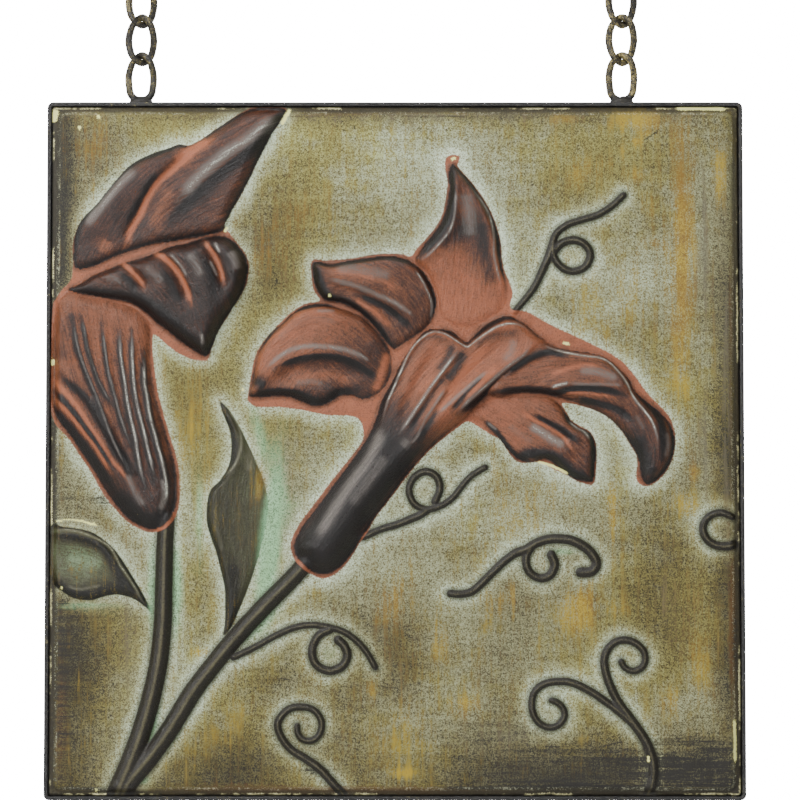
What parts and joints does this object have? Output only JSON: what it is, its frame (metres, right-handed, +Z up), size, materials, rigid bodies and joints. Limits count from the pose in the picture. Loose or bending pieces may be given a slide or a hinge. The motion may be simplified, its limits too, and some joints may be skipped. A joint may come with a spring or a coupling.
{
  "type": "metal wall sculpture",
  "caption": "Square pressed-metal wall panel with lilies in relief, in a thin flat-bar frame, hung by short twisted-link chains from rings.",
  "frame": {"origin": "on the panel's middle line, level with the points where hooks bear inside the two hanging rings", "axes": "+X to the right seen from the front, +Y from the front into the wall, +Z up"},
  "size_m": [0.305, 0.0249, 0.3757],
  "materials": {
    "sheet": "hand-painted pressed sheet: speckled olive grey ground, terracotta and dark brown lilies, semi-gloss",
    "frame": "black paint over steel, chipped to cream and ochre along its edges",
    "chain": "dark brown paint with ochre and cream speckle"
  },
  "bodies": {
    "root": {"embossed_sheet": "sheet", "bar_frame": "frame", "chain_left_welded_link": "chain", "chain_left_link_1": "chain", "chain_left_link_2": "chain", "chain_left_hanging_ring": "chain", "chain_right_welded_link": "chain", "chain_right_link_1": "chain", "chain_right_link_2": "chain", "chain_right_hanging_ring": "chain"}
  },
  "joints": []
}
